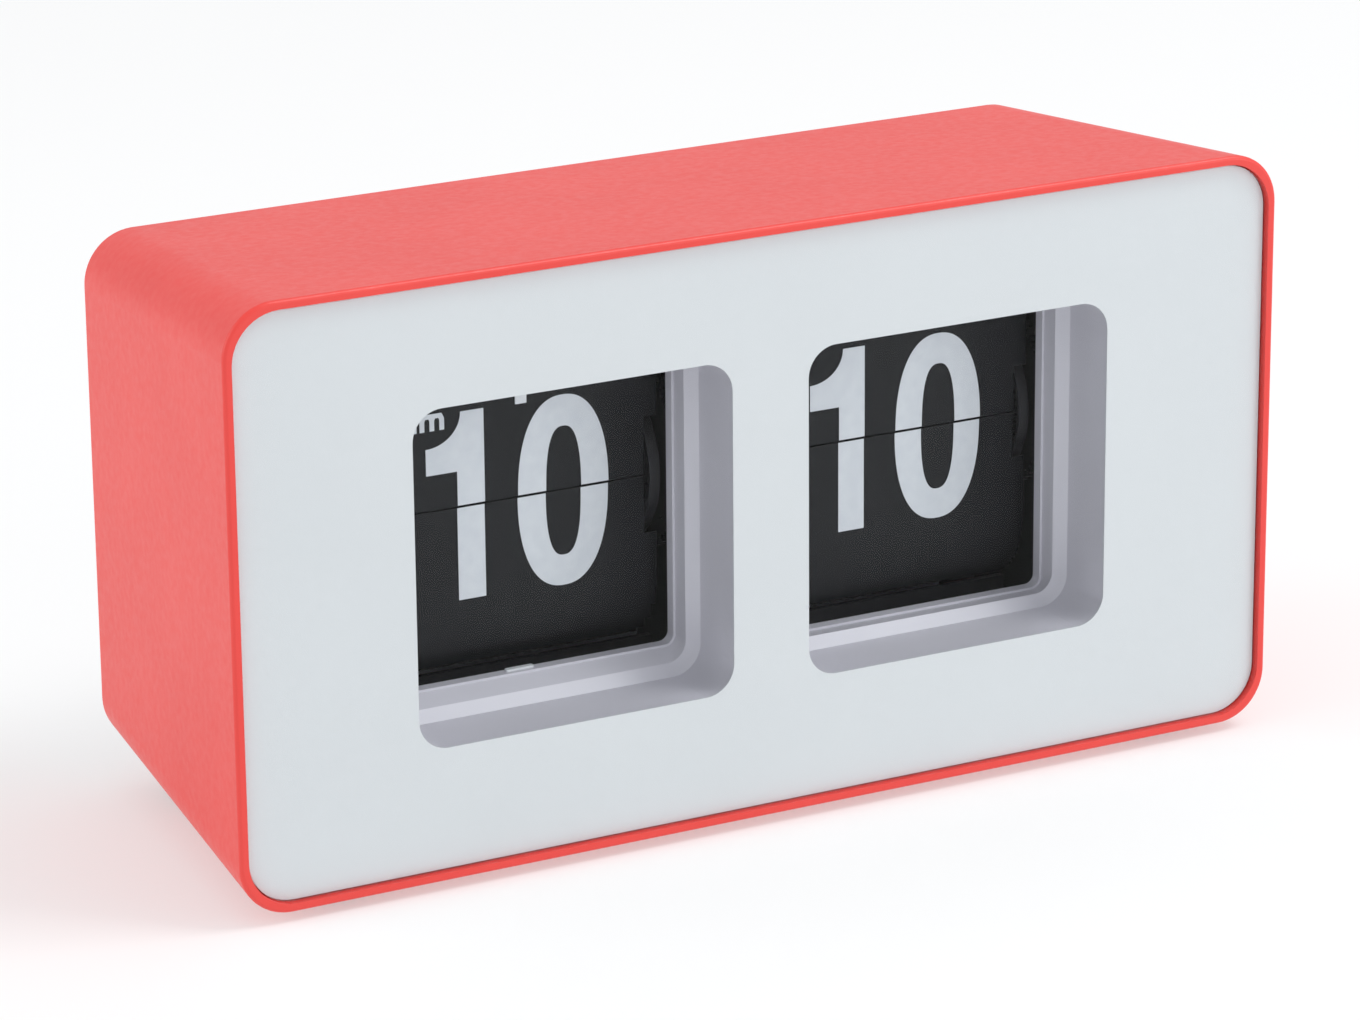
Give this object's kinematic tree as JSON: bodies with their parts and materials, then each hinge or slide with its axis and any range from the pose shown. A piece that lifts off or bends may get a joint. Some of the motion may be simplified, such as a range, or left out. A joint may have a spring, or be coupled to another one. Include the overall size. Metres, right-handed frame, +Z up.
{
  "type": "flip number clock",
  "caption": "Tapered rounded-box desk clock whose hours and minutes are printed on split leaves that fall over behind two windows in a flat front.",
  "frame": {"origin": "on the surface the clock stands on, at the middle of its width and depth", "axes": "+Z up, +X to the right seen from the front, +Y from the front to the back"},
  "size_m": [0.1798, 0.066, 0.0957],
  "materials": {
    "case_red": "satin coral-red",
    "glass_clear": "clear, polished",
    "mask_white": "bluish white film",
    "tape_black": "foam tape",
    "bezel_grey": "semi-gloss lilac grey",
    "screw_steel": "zinc plated",
    "tab_white": "natural nylon",
    "back_plastic": "fine texture",
    "foot_rubber": "matt",
    "frame_plastic": "black, satin",
    "rod_steel": "bright drawn",
    "wheel_black": "black, satin",
    "gear_white": "natural acetal",
    "gear_brass": "cut",
    "leaf_black": "black, satin",
    "can_steel": "nickel plated",
    "rotor_magnet": "sintered",
    "cell_wrap": "plain foil wrap",
    "board_green": "solder mask",
    "chip_black": "moulded"
  },
  "bodies": {
    "clock": {"axle_clips": "screw_steel", "base_plate": "frame_plastic", "base_screws": "screw_steel", "battery_cells": "cell_wrap", "battery_contacts": "rod_steel", "battery_holder": "back_plastic", "bezel_screws": "screw_steel", "case_shell": "case_red", "circuit_board": "board_green", "clock_chip": "chip_black", "feet": "foot_rubber", "frame_center_plate": "frame_plastic", "frame_left_plate": "frame_plastic", "frame_right_plate": "frame_plastic", "front_glass": "glass_clear", "front_mask": "mask_white", "glass_tape": "tape_black", "holdback_bar": "frame_plastic", "holdback_screws": "screw_steel", "hour_holdback_spring": "tab_white", "hour_leaf_stack": "leaf_black", "hour_lower_leaf": "leaf_black", "hour_next_leaf": "leaf_black", "leaf_rest": "tab_white", "main_axle": "rod_steel", "minute_holdback_spring": "tab_white", "minute_leaf_stack": "leaf_black", "minute_lower_leaf": "leaf_black", "minute_next_leaf": "leaf_black", "motor_can": "can_steel", "motor_screws": "screw_steel", "quartz_crystal": "can_steel", "rear_cover": "back_plastic", "rear_cover_screws": "screw_steel", "tie_rod_nuts": "screw_steel", "tie_rods": "rod_steel", "window_bezel": "bezel_grey"},
    "minute_drum": {"minute_hub": "wheel_black", "minute_wheel_left": "wheel_black", "minute_wheel_right": "wheel_black", "minute_pinion": "gear_brass", "minute_gear": "wheel_black"},
    "hour_drum": {"hour_hub": "wheel_black", "hour_wheel_left": "wheel_black", "hour_wheel_right": "wheel_black", "hour_gear": "wheel_black"},
    "counter_arbor": {"counter_shaft": "rod_steel", "counter_gear": "gear_white", "counter_pinion": "gear_white"},
    "reduction_arbor": {"reduction_shaft": "rod_steel", "reduction_gear": "gear_white", "reduction_pinion": "gear_white"},
    "motor_arbor": {"motor_rotor": "rotor_magnet", "motor_pinion": "gear_brass"},
    "setting_arbor": {"setting_shaft": "rod_steel", "setting_gear": "gear_white", "setting_wheel": "frame_plastic"},
    "hour_falling_leaf": {"hour_flap": "leaf_black"},
    "minute_falling_leaf": {"minute_flap": "leaf_black"},
    "battery_hatch": {"battery_door": "back_plastic"}
  },
  "joints": [
    {"name": "minute_drum_spin", "type": "hinge", "parent": "clock", "child": "minute_drum", "pos_m": [0, 0.0005, 0.05235], "axis": [1, 0, 0], "continuous": true},
    {"name": "hour_drum_spin", "type": "hinge", "parent": "clock", "child": "hour_drum", "pos_m": [0, 0.0005, 0.05235], "axis": [1, 0, 0], "continuous": true},
    {"name": "counter_spin", "type": "hinge", "parent": "clock", "child": "counter_arbor", "pos_m": [0, 0.00925, 0.06751], "axis": [1, 0, 0], "continuous": true},
    {"name": "reduction_spin", "type": "hinge", "parent": "clock", "child": "reduction_arbor", "pos_m": [0, 0.00516, 0.03496], "axis": [1, 0, 0], "continuous": true},
    {"name": "motor_spin", "type": "hinge", "parent": "clock", "child": "motor_arbor", "pos_m": [0, -0.00729, 0.0266], "axis": [1, 0, 0], "continuous": true},
    {"name": "setting_wheel_spin", "type": "hinge", "parent": "clock", "child": "setting_arbor", "pos_m": [0, 0.0205, 0.05235], "axis": [1, 0, 0], "continuous": true},
    {"name": "hour_leaf_fall", "type": "hinge", "parent": "clock", "child": "hour_falling_leaf", "pos_m": [-0.0332, -0.0115, 0.05392], "axis": [1, 0, 0], "range_deg": [0, 179], "deforming": ["hour_holdback_spring"]},
    {"name": "minute_leaf_fall", "type": "hinge", "parent": "clock", "child": "minute_falling_leaf", "pos_m": [0.0332, -0.0115, 0.05298], "axis": [1, 0, 0], "range_deg": [0, 179], "deforming": ["minute_holdback_spring"]},
    {"name": "battery_door_hinge", "type": "hinge", "parent": "clock", "child": "battery_hatch", "pos_m": [0, 0.0296, 0.0129], "axis": [-1, 0, 0], "range_deg": [0, 80]}
  ],
  "couplings": [
    {"joint": "hour_drum_spin", "follows": "minute_drum_spin", "ratio": 0.041667},
    {"joint": "counter_spin", "follows": "minute_drum_spin", "ratio": -0.25},
    {"joint": "reduction_spin", "follows": "minute_drum_spin", "ratio": -5},
    {"joint": "motor_spin", "follows": "minute_drum_spin", "ratio": 25},
    {"joint": "setting_wheel_spin", "follows": "minute_drum_spin", "ratio": -3}
  ]
}
